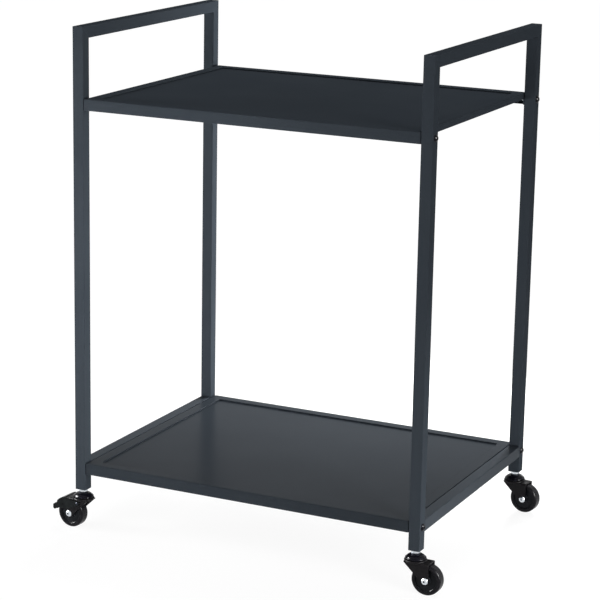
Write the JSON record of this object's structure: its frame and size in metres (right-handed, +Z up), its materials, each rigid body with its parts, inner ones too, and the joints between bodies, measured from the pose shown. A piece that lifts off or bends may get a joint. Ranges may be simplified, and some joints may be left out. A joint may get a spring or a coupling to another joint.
{
  "type": "serving cart",
  "caption": "Tiered rolling serving cart: square-tube side frames that form the handles, pressed metal shelves bolted between them, and swivel casters, some with a brake pedal.",
  "frame": {"origin": "on the floor, under the middle of the side frames", "axes": "+X to the right along the long side, +Y to the back, +Z up"},
  "size_m": [0.7276, 0.4896, 0.866],
  "materials": {
    "powder_coat": "satin dark grey powder coat with a fine texture",
    "black_steel": "gloss black",
    "zinc": "bright zinc plate",
    "bearing_steel": "polished",
    "tyre": "smooth dark grey tread",
    "black_plastic": "moulded, semi-gloss",
    "pedal_plastic": "moulded nylon, semi-gloss"
  },
  "bodies": {
    "cart_frame": {"left_front_leg": "powder_coat", "left_front_leg_socket": "zinc", "left_back_leg": "powder_coat", "left_back_leg_socket": "zinc", "left_handle_bar": "powder_coat", "left_crossbar": "powder_coat", "right_front_leg": "powder_coat", "right_front_leg_socket": "zinc", "right_back_leg": "powder_coat", "right_back_leg_socket": "zinc", "right_handle_bar": "powder_coat", "right_crossbar": "powder_coat", "lower_shelf": "powder_coat", "lower_shelf_bolts": "black_steel", "lower_shelf_nuts": "zinc", "upper_shelf": "powder_coat", "upper_shelf_bolts": "black_steel", "upper_shelf_nuts": "zinc", "left_front_stem": "zinc", "left_front_stem_nut": "zinc", "left_front_swivel_cap": "black_steel", "left_front_swivel_balls": "bearing_steel", "left_back_stem": "zinc", "left_back_stem_nut": "zinc", "left_back_swivel_cap": "black_steel", "left_back_swivel_balls": "bearing_steel", "right_front_stem": "zinc", "right_front_stem_nut": "zinc", "right_front_swivel_cap": "black_steel", "right_front_swivel_balls": "bearing_steel", "right_back_stem": "zinc", "right_back_stem_nut": "zinc", "right_back_swivel_cap": "black_steel", "right_back_swivel_balls": "bearing_steel"},
    "left_front_swivel": {"left_front_fork": "black_steel", "left_front_axle": "zinc", "left_front_brake_pin": "zinc"},
    "left_front_wheel": {"left_front_wheel_core": "black_plastic", "left_front_tyre": "tyre"},
    "left_front_brake_pedal": {"left_front_brake_pedal": "pedal_plastic"},
    "left_back_swivel": {"left_back_fork": "black_steel", "left_back_axle": "zinc", "left_back_brake_pin": "zinc"},
    "left_back_wheel": {"left_back_wheel_core": "black_plastic", "left_back_tyre": "tyre"},
    "left_back_brake_pedal": {"left_back_brake_pedal": "pedal_plastic"},
    "right_front_swivel": {"right_front_fork": "black_steel", "right_front_axle": "zinc"},
    "right_front_wheel": {"right_front_wheel_core": "black_plastic", "right_front_tyre": "tyre"},
    "right_back_swivel": {"right_back_fork": "black_steel", "right_back_axle": "zinc"},
    "right_back_wheel": {"right_back_wheel_core": "black_plastic", "right_back_tyre": "tyre"}
  },
  "joints": [
    {"name": "left_front_swivel_turn", "type": "hinge", "parent": "cart_frame", "child": "left_front_swivel", "pos_m": [-0.31, -0.226, 0.057], "axis": [0, 0, 1], "continuous": true},
    {"name": "left_front_wheel_roll", "type": "hinge", "parent": "left_front_swivel", "child": "left_front_wheel", "pos_m": [-0.33192, -0.22408, 0.0255], "axis": [-0.0872, -0.9962, 0], "continuous": true},
    {"name": "left_front_brake_press", "type": "hinge", "parent": "left_front_swivel", "child": "left_front_brake_pedal", "pos_m": [-0.31299, -0.22574, 0.047], "axis": [-0.0872, -0.9962, 0], "range_deg": [0, 4.2]},
    {"name": "left_back_swivel_turn", "type": "hinge", "parent": "cart_frame", "child": "left_back_swivel", "pos_m": [-0.31, 0.226, 0.057], "axis": [0, 0, 1], "continuous": true},
    {"name": "left_back_wheel_roll", "type": "hinge", "parent": "left_back_swivel", "child": "left_back_wheel", "pos_m": [-0.33184, 0.22332, 0.0255], "axis": [0.1219, -0.9925, 0], "continuous": true},
    {"name": "left_back_brake_press", "type": "hinge", "parent": "left_back_swivel", "child": "left_back_brake_pedal", "pos_m": [-0.31298, 0.22563, 0.047], "axis": [0.1219, -0.9925, 0], "range_deg": [0, 4.2]},
    {"name": "right_front_swivel_turn", "type": "hinge", "parent": "cart_frame", "child": "right_front_swivel", "pos_m": [0.31, -0.226, 0.057], "axis": [0, 0, 1], "continuous": true},
    {"name": "right_front_wheel_roll", "type": "hinge", "parent": "right_front_swivel", "child": "right_front_wheel", "pos_m": [0.332, -0.22638, 0.0255], "axis": [0.0175, 0.9998, 0], "continuous": true},
    {"name": "right_back_swivel_turn", "type": "hinge", "parent": "cart_frame", "child": "right_back_swivel", "pos_m": [0.31, 0.226, 0.057], "axis": [0, 0, 1], "continuous": true},
    {"name": "right_back_wheel_roll", "type": "hinge", "parent": "right_back_swivel", "child": "right_back_wheel", "pos_m": [0.33188, 0.2237, 0.0255], "axis": [0.1045, 0.9945, 0], "continuous": true}
  ]
}
